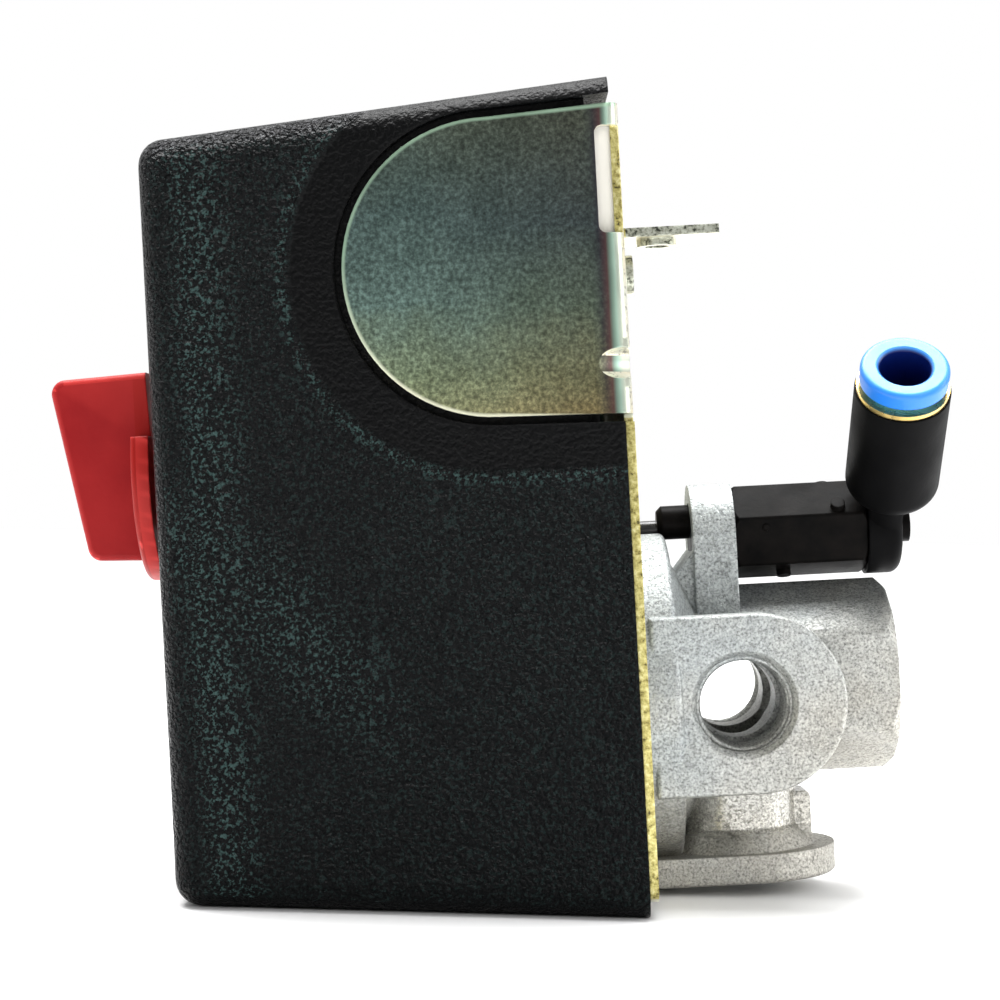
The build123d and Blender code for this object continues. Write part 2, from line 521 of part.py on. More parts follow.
def valve_body():
    prism = hexagon(VALVE_AF, VALVE_X0, VALVE_X1, 0, VALVE_Z, VALVE_TURN)
    round_bar = Pos((VALVE_X0 + VALVE_X1) / 2, 0, VALVE_Z) * Rot(0, 90, 0) * Cylinder(
        VALVE_AF / 2 / math.cos(math.pi / 6) - 0.1, VALVE_X1 - VALVE_X0)
    body = prism & chamfer(round_bar.edges(), 0.5)
    body += cyl(4.0, BASE_X + 8.7, VALVE_X0 + 1, 0, VALVE_Z)
    neck = cyl(NECK_R, BASE_X + 4.1, BASE_X + 8.8, 0, NECK_Z)
    body += chamfer(neck.edges().group_by(Axis.X)[0], 0.7)
    body += cyl(2.5, VALVE_X1 - 1, VALVE_X1 + 6.6, 0, VALVE_Z)
    apothem = VALVE_AF / 2
    for x, turn, slip in ((-6.4, 120, 1.9), (-7.6, 60, 0), (-14.0, 240, 0), (-16.6, 180, -2.0)):
        side = VALVE_TURN + turn
        spot = Pos(x, 0, VALVE_Z) * Rot(side - 90, 0, 0) * Pos(0, -slip, apothem)
        body += spot * Cylinder(1.0 if turn != 180 else 0.5, 1.6 if turn != 180 else 0.5)
    body -= cyl(PIN_R + RUN, BASE_X, VALVE_X0 + 2, 0, PIN_Z)
    body -= cyl(3.9, VALVE_X0 + 1.9, VALVE_X1 - 3.6, 0, VALVE_Z)
    body -= cyl(1.2, VALVE_X1 - 4, VALVE_X1 + 4.6, 0, VALVE_Z)
    return body


def valve_pin():
    inner = PIVOT_X + 2.5 + GAP
    body = cyl(PIN_R, inner, VALVE_X0 + 3.5, 0, PIN_Z)
    cap = cyl(2.4, inner, inner + 1.6, 0, PIN_Z)
    body += fillet(cap.edges().group_by(Axis.X)[0], 0.8)
    return body + cyl(3.2, VALVE_X0 + 3.4, VALVE_X0 + 5.2, 0, VALVE_Z)


def valve_seal():
    x = VALVE_X0 + 2.0
    return cyl(3.1, x, x + 1.4, 0, VALVE_Z) - cyl(PIN_R, x - 1, x + 3, 0, PIN_Z)


def valve_spring():
    return coil(2.5, 0.35, VALVE_X0 + 5.2 + 0.05, VALVE_X1 - 3.65, 6.0, 0, VALVE_Z)


def along(shape):
    """Place a shape built along local Z on the outlet axis of the elbow."""
    return Pos(OUT_X, 0, VALVE_Z) * Rot(TURN, 0, 0) * shape


def tube_z(r_out, r_in, z0, z1):
    return cyl_z(r_out, z0, z1) - cyl_z(r_in, z0 - 1, z1 + 1)


OUT_BASE, OUT_RIM = 9.6, 26.6


def elbow_body():
    barrel = cyl(6.8, VALVE_X1 + 0.1, VALVE_X1 + 5.0, 0, VALVE_Z)
    barrel = fillet(barrel.edges().group_by(Axis.X)[-1], 1.6)
    can = cyl_z(6.5, OUT_BASE - 2.4, OUT_RIM)
    can = fillet(can.edges().group_by(Axis.Z)[0], 2.6)
    neck = cyl_z(5.2, 0, OUT_BASE) & Pos(-0.05 - OUT_X, 0, 5) * Box(4.5, 20, 20)
    outlet = can + neck
    outlet -= cyl_z(5.6, OUT_BASE + 8.0, OUT_RIM + 1)
    outlet -= cyl_z(5.0, OUT_BASE + 4.9, OUT_RIM)
    outlet -= cyl_z(TUBE_R - 0.1, OUT_BASE + 1.0, OUT_RIM)
    outlet -= Pos(-OUT_X, 0, 0) * cyl_z(1.2, 2, OUT_RIM)
    body = barrel + along(outlet)
    return body - cyl(2.5 + RUN, VALVE_X1 - 1, VALVE_X1 + 9, 0, VALVE_Z)


def tube_seal():
    return along(Pos(0, 0, OUT_BASE + 6.4) * Torus(4.15, 0.8))


def tube_claw():
    ring = tube_z(5.55, 4.2, OUT_BASE + 8.1, OUT_BASE + 8.9)
    for i in range(10):
        tooth = Pos(3.95, 0, OUT_BASE + 8.5) * Box(0.9, 1.3, 0.7)
        ring += Rot(0, 0, 36 * i) * tooth
    return along(ring)


def brass_collar():
    return along(tube_z(5.58, 4.9, OUT_BASE + 9.0, OUT_RIM + 0.1)
                 + tube_z(6.3, 4.9, OUT_RIM, OUT_RIM + 0.8))


def release_ring():
    head = cyl_z(6.0, OUT_RIM + 1.8, OUT_RIM + 4.2)
    head = fillet(head.edges().group_by(Axis.Z)[-1], 0.7)
    body = head + cyl_z(4.85, OUT_BASE + 10.2, OUT_RIM + 2.0)
    body -= cyl_z(TUBE_R, OUT_BASE, OUT_RIM + 6)
    body -= Pos(0, 0, OUT_RIM + 3.95) * Cone(TUBE_R - 0.1, TUBE_R + 0.5, 0.6)
    return along(body)


NODES = {
    "base_frame": base_frame, "manifold": manifold, "diaphragm": diaphragm,
    "manifold_screws": manifold_screws, "rocker_bracket": rocker_bracket,
    "rocker_pin": rocker_pin, "rocker": rocker, "piston": piston,
    "range_stud": range_stud, "range_spring": range_spring, "spring_seat": spring_seat,
    "range_nut": range_nut, "cover_post": cover_post, "terminal_block": terminal_block,
    "fixed_contacts": fixed_contacts, "clamp_plates": clamp_plates,
    "terminal_screws": terminal_screws, "block_screws": block_screws,
    "earth_screw": earth_screw, "contact_carriage": contact_carriage,
    "bridge_contacts": bridge_contacts, "trip_slide": trip_slide, "knob": knob,
    "cam_shaft": cam_shaft, "cover": cover, "cover_screw": cover_screw,
    "valve_body": valve_body, "valve_pin": valve_pin, "valve_seal": valve_seal,
    "valve_spring": valve_spring, "elbow_body": elbow_body, "tube_seal": tube_seal,
    "tube_claw": tube_claw, "brass_collar": brass_collar, "release_ring": release_ring,
}

os.makedirs("parts", exist_ok=True)
for name, make in NODES.items():
    made = make()
    if isinstance(made, list):
        made = Compound(children=[Compound(s.wrapped) if not isinstance(s, Solid) else s for s in made])
    export_step(made, f"parts/{name}.step")
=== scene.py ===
"""Looks of an air-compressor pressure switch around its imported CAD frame."""
import json
import math

import bpy
from mathutils import Matrix, Vector


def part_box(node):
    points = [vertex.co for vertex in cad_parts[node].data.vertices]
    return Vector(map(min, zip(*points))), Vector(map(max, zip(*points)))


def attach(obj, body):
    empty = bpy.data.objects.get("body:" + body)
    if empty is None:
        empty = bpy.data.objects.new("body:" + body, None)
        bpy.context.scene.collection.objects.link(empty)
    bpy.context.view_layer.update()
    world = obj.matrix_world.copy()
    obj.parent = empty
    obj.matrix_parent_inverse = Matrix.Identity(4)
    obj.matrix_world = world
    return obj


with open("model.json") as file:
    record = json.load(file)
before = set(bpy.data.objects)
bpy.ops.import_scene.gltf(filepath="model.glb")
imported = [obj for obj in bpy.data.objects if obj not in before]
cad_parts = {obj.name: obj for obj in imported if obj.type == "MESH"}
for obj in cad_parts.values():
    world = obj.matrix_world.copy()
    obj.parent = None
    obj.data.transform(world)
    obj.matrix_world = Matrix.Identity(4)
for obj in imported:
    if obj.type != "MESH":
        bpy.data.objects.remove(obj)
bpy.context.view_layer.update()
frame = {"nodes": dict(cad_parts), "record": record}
nodes = frame["nodes"]
MM = 0.001
MOUNTS = {m["name"]: m for m in frame["record"]["mounts"]}


# ---- node helpers ---------------------------------------------------------------
def node(tree, kind, inputs=None, **props):
    """A shader node with its properties set and its inputs linked or valued."""
    made = tree.nodes.new(kind)
    for key, value in props.items():
        setattr(made, key, value)
    for key, value in (inputs or {}).items():
        if isinstance(value, bpy.types.NodeSocket):
            tree.links.new(value, made.inputs[key])
        else:
            made.inputs[key].default_value = value
    return made


def coords(tree):
    return node(tree, "ShaderNodeTexCoord").outputs["Object"]


def noise(tree, scale, detail=3.0, rough=0.55, where=None):
    made = node(tree, "ShaderNodeTexNoise", {
        "Scale": scale, "Detail": detail, "Roughness": rough, "Vector": where or coords(tree)})
    return made.outputs[0]


def cells(tree, scale):
    """Distance to the nearest of many scattered points."""
    inputs = {"Scale": scale, "Vector": coords(tree)}
    return node(tree, "ShaderNodeTexVoronoi", inputs, feature="F1").outputs["Distance"]


def ramp(tree, value, stops):
    """Colour ramp; a stop is (place, grey) or (place, (r, g, b))."""
    made = node(tree, "ShaderNodeValToRGB", {"Fac": value})
    band = made.color_ramp
    while len(band.elements) < len(stops):
        band.elements.new(0.5)
    for element, (place, colour) in zip(band.elements, stops):
        element.position = place
        rgb = (colour,) * 3 if isinstance(colour, (int, float)) else colour
        element.color = (*rgb, 1)
    return made.outputs[0]


def mix(tree, share, a, b, blend="MIX"):
    made = node(tree, "ShaderNodeMix", data_type="RGBA", blend_type=blend)
    for index, value in ((0, share), (6, a), (7, b)):
        if isinstance(value, bpy.types.NodeSocket):
            tree.links.new(value, made.inputs[index])
        elif index == 0:
            made.inputs[0].default_value = value
        else:
            made.inputs[index].default_value = (*value, 1)
    return made.outputs[2]


def maths(tree, what, a, b=0.0, c=0.0):
    return node(tree, "ShaderNodeMath", {0: a, 1: b, 2: c}, operation=what).outputs[0]


def bump(tree, height, depth, strength=1.0, normal=None):
    made = node(tree, "ShaderNodeBump", {"Height": height, "Distance": depth, "Strength": strength})
    if normal:
        tree.links.new(normal, made.inputs["Normal"])
    return made.outputs[0]


def soft_edges(tree, radius):
    return node(tree, "ShaderNodeBevel", {"Radius": radius}, samples=4).outputs[0]


def material(name, colour, rough, metal=0.0, normal=None, **constants):
    """Material from functions of its tree; a plain value is set on the shader's own socket."""
    made = bpy.data.materials.new(name)
    made.use_nodes = True
    tree = made.node_tree
    shader = tree.nodes["Principled BSDF"]
    for key, value in (("Base Color", colour), ("Roughness", rough), ("Metallic", metal), ("Normal", normal)):
        if callable(value):
            tree.links.new(value(tree), shader.inputs[key])
        elif value is not None:
            shader.inputs[key].default_value = (*value, 1) if key == "Base Color" else value
    for key, value in constants.items():
        shader.inputs[key.replace("_", " ")].default_value = value
    return made


# ---- materials ------------------------------------------------------------------
PEBBLE = 1500.0          # grain bumps per metre
FLANGE_X, FLANGE_Z = -0.0532, 0.0576
BAND_REACH = 0.0268      # outer radius of the smooth band round the side flange
SIDE_EDGE = -0.0991      # closed face of the cover
BAND_SOFT_OUT, BAND_SOFT_IN = 0.0002, 0.0006           # soft edge of the smooth band
SKIN_BLACK, BAND_BLACK = (0.0012, 0.0017, 0.0020), (0.0022, 0.0023, 0.0025)
# painted reflections on the cover: green glints in bands on its sides and grey highlights on its upward faces
GLINT_GREEN, CROWN_HIGHLIGHT_GREY = (0.036, 0.068, 0.064), (0.075, 0.075, 0.080)
EDGE_GLINTS = (0.0035, 0.0060, 0.0085, 0.0135)         # from the closed face
ROUND_GLINTS = (-0.0002, 0.0005, 0.0008, 0.0022)       # from the smooth band
SLANT_RISE, SLANT_FOOT, SLANT_HALF, SLANT_CORE = 0.80, -0.0305, 0.012, 0.003
SLANT_FULL, SLANT_GONE = 0.020, 0.034                  # from the closed face
# the bend's dark and pale bands are painted shade and a painted highlight
BEND_INNER, BEND_OUTER = -0.0405, -0.0360              # bend between base and side flange
FACE_TOP, FACE_FOOT = 0.0780, 0.0375                   # side flange, upper and lower ends
TINT_LEFT, TINT_RIGHT = -0.0640, -0.0420
PLATE_INNER, PLATE_OUTER, TAB_INNER = -0.03725, -0.03695, -0.0354
# the next two lines place a painted highlight, a pale line along the side flange's edge
LINE_INNER, LINE_OUTER, LINE_LEAN = 0.01895, 0.01925, 0.060
LINE_HIGH, LINE_LOW = 0.060, 0.042
FLANGE_FOOT, WINDOW_FOOT, WINDOW_TOP = 0.0372, 0.0605, 0.0760
NUT_INNER, NUT_OUTER = -0.016, -0.004                  # where the hexagon's top gets its pits


def position(tree):
    return node(tree, "ShaderNodeSeparateXYZ", {0: coords(tree)}).outputs


def facing(tree):
    normal = node(tree, "ShaderNodeNewGeometry").outputs["True Normal"]
    return node(tree, "ShaderNodeSeparateXYZ", {0: normal}).outputs


def rise(tree, value, low, high):
    """0 below low, 1 above high, straight between; falls when high is below low."""
    made = node(tree, "ShaderNodeMapRange", {"Value": value, "From Min": low, "From Max": high})
    return made.outputs[0]


def stripe(tree, value, start, full, fade, gone):
    """0 up to start, 1 from full to fade, 0 again from gone."""
    return maths(tree, "MULTIPLY", rise(tree, value, start, full), rise(tree, value, gone, fade))


def from_flange(tree, xyz):
    """Distance from the round end's centre line of the side flange."""
    dx = maths(tree, "MINIMUM", maths(tree, "SUBTRACT", xyz[0], FLANGE_X), 0.0)
    dz = maths(tree, "SUBTRACT", xyz[2], FLANGE_Z)
    squares = maths(tree, "ADD", maths(tree, "POWER", dx, 2.0), maths(tree, "POWER", dz, 2.0))
    return maths(tree, "SQRT", squares)


def band_mask(tree):
    """1 on the cover's sides inside the smooth band, 0 on the grained skin."""
    away = from_flange(tree, position(tree))
    side = maths(tree, "GREATER_THAN", maths(tree, "ABSOLUTE", facing(tree)[1]), 0.35)
    inside = rise(tree, away, BAND_REACH + BAND_SOFT_OUT, BAND_REACH - BAND_SOFT_IN)
    return maths(tree, "MULTIPLY", inside, side)


def grain(tree):
    """Height of the pebble grain: short rounded ridges of two sizes."""
    where = coords(tree)
    big = ramp(tree, noise(tree, PEBBLE, 1.5, 0.5, where), [(0.36, 0.0), (0.60, 1.0)])
    small = noise(tree, PEBBLE * 2.3, 2.0, 0.6, where)
    return maths(tree, "MULTIPLY_ADD", small, 0.5, big)


def cover_colour(tree):
    """Near-black with painted reflections: green glints on the sides, densest in three soft bands (along
    the closed face, round the smooth band and across the middle), and grey highlights on upward faces."""
    xyz = position(tree)
    away = maths(tree, "SUBTRACT", xyz[0], SIDE_EDGE)
    wander = maths(tree, "MULTIPLY_ADD", noise(tree, 22.0, 2.0), 0.006, maths(tree, "SUBTRACT", away, 0.003))
    first = stripe(tree, wander, *EDGE_GLINTS)
    round_band = from_flange(tree, xyz)
    near = stripe(tree, round_band, *(BAND_REACH + step for step in ROUND_GLINTS))
    slope = maths(tree, "ADD", xyz[2], maths(tree, "MULTIPLY_ADD", away, SLANT_RISE, SLANT_FOOT))
    slope = maths(tree, "ABSOLUTE", maths(tree, "MULTIPLY_ADD", noise(tree, 30.0, 2.0), 0.010, slope))
    middle = maths(tree, "MULTIPLY", rise(tree, slope, SLANT_HALF, SLANT_CORE),
                   rise(tree, away, SLANT_GONE, SLANT_FULL))
    bands = maths(tree, "MAXIMUM", first, maths(tree, "MULTIPLY", near, 0.8))
    bands = maths(tree, "MAXIMUM", bands, maths(tree, "MULTIPLY", middle, 0.8))
    bands = maths(tree, "MULTIPLY_ADD", bands, 0.80, 0.20)
    side = maths(tree, "GREATER_THAN", maths(tree, "ABSOLUTE", facing(tree)[1]), 0.8)
    # painted reflection: green glints on the grain of the sides, strongest in the bands
    glint = ramp(tree, noise(tree, PEBBLE * 1.25, 2.5, 0.65), [(0.52, 0.0), (0.62, 1.0)])
    glint_share = maths(tree, "MULTIPLY", maths(tree, "MULTIPLY", bands, side), glint)
    skin_and_glints = mix(tree, glint_share, SKIN_BLACK, GLINT_GREEN)
    # painted highlight: grey specks on upward faces
    top_highlight = maths(tree, "MULTIPLY", rise(tree, facing(tree)[2], 0.30, 0.60), glint)
    skin_and_glints = mix(tree, top_highlight, skin_and_glints, CROWN_HIGHLIGHT_GREY)
    return mix(tree, band_mask(tree), skin_and_glints, BAND_BLACK)


def cover_rough(tree):
    wear_and_edge_highlight = ramp(tree, noise(tree, 60.0, 4.0, 0.6), [(0.3, 0.22), (0.7, 0.32)])
    return mix(tree, band_mask(tree), wear_and_edge_highlight, (0.40, 0.40, 0.40))


def cover_normal(tree):
    skin = maths(tree, "MULTIPLY", grain(tree), maths(tree, "MULTIPLY_ADD", band_mask(tree), -0.82, 1.0))
    fine = bump(tree, noise(tree, 3200.0, 3.0), 0.00003, 0.5, soft_edges(tree, 0.0008))
    return bump(tree, skin, 0.00042, 1.0, fine)


def plated(warm, cool, scale=70.0):
    """Colour of chromated zinc: a warm and a cool tint in soft blotches, with fine dark flecks."""
    between = tuple((a + b) / 2 for a, b in zip(warm, cool))

    def colour(tree):
        blotch = ramp(tree, noise(tree, scale, 6.0, 0.68), [(0.36, cool), (0.5, between), (0.66, warm)])
        fleck = ramp(tree, noise(tree, 1500.0, 2.0, 0.6), [(0.33, 0.45), (0.45, 1.0)])
        return mix(tree, 1.0, blotch, fleck, "MULTIPLY")
    return colour


def flange_face(tree, xyz):
    """Mottled grey-green side flanges, teal in the middle, olive low down; painted shade and highlight along
    the bend.
    """
    fall = maths(tree, "SUBTRACT", rise(tree, xyz[2], FACE_TOP, FACE_FOOT), 0.17)
    wavy = maths(tree, "MULTIPLY_ADD", noise(tree, 60.0, 5.0, 0.6), 0.34, fall)
    left = ramp(tree, wavy, [(0.03, (0.072, 0.094, 0.072)), (0.35, (0.070, 0.108, 0.100)),
                             (0.60, (0.098, 0.152, 0.132)), (0.82, (0.160, 0.200, 0.120)),
                             (0.97, (0.215, 0.235, 0.125))])
    right = ramp(tree, wavy, [(0.03, (0.056, 0.064, 0.048)), (0.40, (0.042, 0.056, 0.056)),
                              (0.65, (0.076, 0.100, 0.072)), (0.85, (0.135, 0.130, 0.068)),
                              (0.97, (0.180, 0.140, 0.062))])
    face = mix(tree, rise(tree, xyz[0], TINT_LEFT, TINT_RIGHT), left, right)
    mottle = ramp(tree, noise(tree, 1700.0, 3.0, 0.66), [(0.34, 0.50), (0.50, 1.0), (0.66, 1.8)])
    cloud = ramp(tree, noise(tree, 700.0, 4.0, 0.6), [(0.36, 0.85), (0.64, 1.15)])
    face = mix(tree, 1.0, mix(tree, 1.0, face, mottle, "MULTIPLY"), cloud, "MULTIPLY")
    across = rise(tree, xyz[0], BEND_INNER, BEND_OUTER)
    bend = ramp(tree, across, [(0.0, 0.0), (0.30, 0.598), (0.62, 1.0)])
    # painted shade and highlight across the bend: dark violet and brown, then pale green and cream
    bend_shade_and_highlight = ramp(tree, across, [
        (0.0, (0.05, 0.07, 0.06)), (0.30, (0.020, 0.014, 0.026)), (0.50, (0.090, 0.040, 0.042)),
        (0.60, (0.16, 0.24, 0.19)), (0.72, (0.30, 0.42, 0.34)), (0.86, (0.50, 0.53, 0.44))])
    return mix(tree, bend, face, bend_shade_and_highlight)


def flange_colour(tree):
    """Grey-green faces, a painted highlight in a pale line round the flange's edge, bright yellow on the
    sheared edges.
    """
    xyz, parts = position(tree), facing(tree)
    face = flange_face(tree, xyz)
    reach = from_flange(tree, xyz)
    lean = maths(tree, "MULTIPLY_ADD", xyz[0], LINE_LEAN, LINE_LEAN * -FLANGE_X)
    reach = maths(tree, "SUBTRACT", reach, maths(tree, "MAXIMUM", lean, 0.0))
    # painted highlight: a pale line along the flange's edge, green high up and cream low down
    edge_highlight_share = rise(tree, reach, LINE_INNER, LINE_OUTER)
    edge_highlight = mix(tree, rise(tree, xyz[2], LINE_HIGH, LINE_LOW), (0.34, 0.50, 0.36), (0.74, 0.74, 0.56))
    face = mix(tree, maths(tree, "MULTIPLY", edge_highlight_share, 0.9), face, edge_highlight)
    side = maths(tree, "GREATER_THAN", maths(tree, "ABSOLUTE", parts[1]), 0.6)
    plate = rise(tree, xyz[0], PLATE_INNER, PLATE_OUTER)
    sheared = ramp(tree, noise(tree, 1300.0, 3.0, 0.7), [
        (0.32, (0.060, 0.050, 0.020)), (0.42, (0.34, 0.29, 0.090)), (0.54, (0.56, 0.50, 0.19)),
        (0.72, (0.80, 0.76, 0.44))])
    outer = plated((0.78, 0.70, 0.50), (0.62, 0.64, 0.56), scale=110.0)(tree)
    tab = maths(tree, "GREATER_THAN", xyz[0], TAB_INNER)
    pale = ramp(tree, noise(tree, 1300.0, 3.0, 0.7), [
        (0.38, (0.035, 0.040, 0.030)), (0.47, (0.30, 0.31, 0.25)), (0.62, (0.52, 0.54, 0.46))])
    low = maths(tree, "LESS_THAN", xyz[2], FLANGE_FOOT)
    window = maths(tree, "MULTIPLY", maths(tree, "GREATER_THAN", xyz[2], WINDOW_FOOT),
                   maths(tree, "LESS_THAN", xyz[2], WINDOW_TOP))
    flat = maths(tree, "GREATER_THAN", maths(tree, "ABSOLUTE", parts[1]), 0.97)
    cut = maths(tree, "MULTIPLY", maths(tree, "MAXIMUM", low, maths(tree, "MULTIPLY", window, flat)), plate)
    cut = maths(tree, "MULTIPLY", cut, maths(tree, "SUBTRACT", 1.0, tab))
    body = mix(tree, side, outer, mix(tree, tab, face, pale))
    return mix(tree, maths(tree, "MULTIPLY", side, cut), body, sheared)


def brushed(scale=900.0, depth=0.00002, edge=0.0003):
    def normal(tree):
        height = maths(tree, "ADD", noise(tree, scale, 4.0, 0.7), cells(tree, scale * 0.7))
        return bump(tree, height, depth, 0.7, soft_edges(tree, edge))
    return normal


def cast_colour(tree):
    """Die-cast skin: mid grey with faint warm and blue clouds, fine grit and a few pits."""
    xyz = position(tree)
    drift = maths(tree, "ADD", maths(tree, "MULTIPLY", xyz[0], 9.0), maths(tree, "MULTIPLY", xyz[2], -14.0))
    share = maths(tree, "ADD", drift, noise(tree, 55.0, 4.0, 0.6))
    cloud = ramp(tree, share, [(0.10, (0.350, 0.372, 0.372)), (0.35, (0.400, 0.405, 0.385)),
                               (0.62, (0.385, 0.374, 0.338))])
    grit = ramp(tree, noise(tree, 2900.0, 3.0, 0.68), [(0.32, 0.42), (0.46, 0.95), (0.70, 1.55)])
    wear_and_edge_highlight = ramp(tree, noise(tree, 900.0, 4.0, 0.7), [(0.32, 0.80), (0.5, 1.0), (0.72, 1.10)])
    nut = maths(tree, "MULTIPLY", rise(tree, xyz[0], NUT_INNER, NUT_OUTER),
                rise(tree, facing(tree)[2], 0.30, 0.48))
    pits = ramp(tree, noise(tree, 1500.0, 4.0, 0.75), [(0.40, 0.40), (0.56, 1.0)])
    skin = mix(tree, 1.0, mix(tree, 1.0, cloud, grit, "MULTIPLY"), wear_and_edge_highlight, "MULTIPLY")
    return mix(tree, maths(tree, "MULTIPLY", nut, 0.4), skin, mix(tree, 1.0, skin, pits, "MULTIPLY"))


def cast_rough(tree):
    """Duller on the pad faces, shinier on the waist between the pads."""
    waist = stripe(tree, position(tree)[2], -0.0225, -0.0205, -0.0145, -0.0125)
    skin = ramp(tree, noise(tree, 140.0, 4.0, 0.6), [(0.3, 0.42), (0.7, 0.60)])
    return mix(tree, waist, skin, (0.20, 0.20, 0.20))


def cast_normal(tree):
    pits = ramp(tree, noise(tree, 1500.0, 4.0, 0.72), [(0.30, 0.0), (0.46, 0.8), (0.8, 1.0)])
    swell = bump(tree, noise(tree, 260.0, 2.0), 0.00010, 0.5, soft_edges(tree, 0.00035))
    return bump(tree, pits, 0.00008, 0.9, swell)


def moulded(depth=0.00003, scale=1400.0, edge=0.0003):
    return lambda tree: bump(tree, noise(tree, scale, 3.0, 0.6), depth, 0.6, soft_edges(tree, edge))


def varied(dark, light, scale=120.0):
    return lambda tree: ramp(tree, noise(tree, scale, 5.0, 0.62), [(0.32, dark), (0.68, light)])


def rough_between(low, high, scale=180.0):
    return lambda tree: ramp(tree, noise(tree, scale, 4.0, 0.6), [(0.3, low), (0.7, high)])


DISC_FACE = -0.1045      # outer face of the knob's disc


def knob_colour(tree):
    """Red plastic, with a painted highlight in paler red on its rounded edges and corners."""
    base = ramp(tree, noise(tree, 160.0, 4.0, 0.6), [
        (0.3, (0.27, 0.008, 0.010)), (0.7, (0.33, 0.014, 0.015))])
    point = node(tree, "ShaderNodeNewGeometry").outputs["Pointiness"]
    # painted highlight: paler red where the edges are sharp
    wear_and_edge_highlight = ramp(tree, point, [(0.505, 0.0), (0.56, 1.0)])
    disc = maths(tree, "GREATER_THAN", position(tree)[0], DISC_FACE)
    base = mix(tree, disc, base, (0.26, 0.006, 0.004))
    return mix(tree, maths(tree, "MULTIPLY", wear_and_edge_highlight, 0.85), base, (0.62, 0.045, 0.040))


OUT_X, OUT_Z, OUT_LEAN = 0.0012, 0.0209, math.radians(46)    # axis of the push-in outlet
RING_BORE, RING_EDGE = (0.0038, 0.0035), (0.0054, 0.0059)     # radii where its colour changes


def ring_colour(tree):
    """Bright blue, with painted shade in deep navy inside the bore of the release ring."""
    xyz = position(tree)
    dx = maths(tree, "SUBTRACT", xyz[0], OUT_X)
    up = maths(tree, "MULTIPLY", maths(tree, "SUBTRACT", xyz[2], OUT_Z), math.sin(OUT_LEAN))
    across = maths(tree, "MULTIPLY_ADD", xyz[1], math.cos(OUT_LEAN), up)
    squares = maths(tree, "ADD", maths(tree, "POWER", dx, 2.0), maths(tree, "POWER", across, 2.0))
    radius = maths(tree, "SQRT", squares)
    # painted shade: deep navy inside the bore
    bore_shade = rise(tree, radius, *RING_BORE)
    face = varied((0.045, 0.27, 0.78), (0.065, 0.33, 0.85))(tree)
    face = mix(tree, rise(tree, radius, *RING_EDGE), face, (0.004, 0.17, 0.66))
    return mix(tree, bore_shade, face, (0.0015, 0.010, 0.110))


STEEL = varied((0.42, 0.42, 0.42), (0.60, 0.59, 0.56), 300.0)
LOOKS = {
    "cover_black": material("cover_black", cover_colour, cover_rough, 0.0, cover_normal,
                            Specular_IOR_Level=0.08),
    "zinc_yellow": material("zinc_yellow", flange_colour, rough_between(0.28, 0.42), 0.75, brushed()),
    "die_cast": material("die_cast", cast_colour, cast_rough, 0.80, cast_normal),
    "rubber_black": material("rubber_black", varied((0.012,) * 3, (0.03,) * 3), 0.7, 0.0, moulded()),
    "steel_screw": material("steel_screw", STEEL, rough_between(0.25, 0.4), 1.0, brushed(edge=0.0002)),
    "steel_inner": material("steel_inner", plated((0.62, 0.58, 0.44), (0.50, 0.52, 0.50)),
                            rough_between(0.28, 0.45), 0.9, brushed()),
    "brass_piston": material("brass_piston", varied((0.50, 0.34, 0.12), (0.66, 0.47, 0.18)),
                             rough_between(0.22, 0.38), 1.0, brushed()),
    "spring_steel": material("spring_steel", varied((0.22, 0.23, 0.25), (0.36, 0.37, 0.38)),
                             rough_between(0.25, 0.4), 1.0, brushed(edge=0.0001)),
    "block_plastic": material("block_plastic", varied((0.012, 0.012, 0.013), (0.022, 0.022, 0.024)),
                              rough_between(0.38, 0.55), 0.0, moulded()),
    "contact_brass": material("contact_brass", varied((0.52, 0.34, 0.12), (0.72, 0.50, 0.20)),
                              rough_between(0.2, 0.36), 1.0, brushed()),
    "brass_screw": material("brass_screw", varied((0.50, 0.36, 0.14), (0.70, 0.52, 0.22)),
                            rough_between(0.22, 0.36), 1.0, brushed(edge=0.0002)),
    "green_screw": material("green_screw", varied((0.02, 0.16, 0.05), (0.04, 0.25, 0.09)),
                            rough_between(0.28, 0.42), 0.6, brushed(edge=0.0002)),
    "carriage_plastic": material("carriage_plastic", varied((0.78, 0.76, 0.70), (0.84, 0.82, 0.77)),
                                 rough_between(0.35, 0.5), 0.0, moulded()),
    "knob_red": material("knob_red", knob_colour, rough_between(0.36, 0.50), 0.0,
                         moulded(0.00004, 1100.0, 0.0004), Specular_IOR_Level=0.12),
    "valve_black": material("valve_black", varied((0.002, 0.002, 0.002), (0.006, 0.005, 0.0045), 420.0),
                            rough_between(0.34, 0.48), 0.0, moulded(0.00004), Specular_IOR_Level=0.03),
    "pin_black": material("pin_black", varied((0.003,) * 3, (0.008,) * 3), rough_between(0.25, 0.4),
                          0.0, moulded(0.00002)),
    "elbow_black": material("elbow_black", varied((0.002, 0.002, 0.0022), (0.004, 0.004, 0.0043)),
                            rough_between(0.42, 0.56), 0.0, moulded(0.00004, 1700.0, 0.0005),
                            Specular_IOR_Level=0.03),
    "collar_brass": material("collar_brass", varied((0.62, 0.42, 0.13), (0.80, 0.60, 0.24)),
                             rough_between(0.2, 0.32), 1.0, brushed(edge=0.0001)),
    "ring_blue": material("ring_blue", ring_colour,
                          rough_between(0.28, 0.40), 0.0, moulded(0.00002, edge=0.0003)),
}
for entry in frame["record"]["subparts"]:
    mesh = nodes[entry["node"]].data
    mesh.materials.clear()
    mesh.materials.append(LOOKS[entry["material_slot"]])


# ---- added pieces ---------------------------------------------------------------
def piece(name, verts, faces, look, body, smooth=True):
    mesh = bpy.data.meshes.new(name)
    mesh.from_pydata(verts, [], faces)
    mesh.validate()
    mesh.materials.append(LOOKS[look])
    if smooth:
        mesh.shade_smooth()
    made = bpy.data.objects.new(name, mesh)
    bpy.context.scene.collection.objects.link(made)
    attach(made, body)
    return made


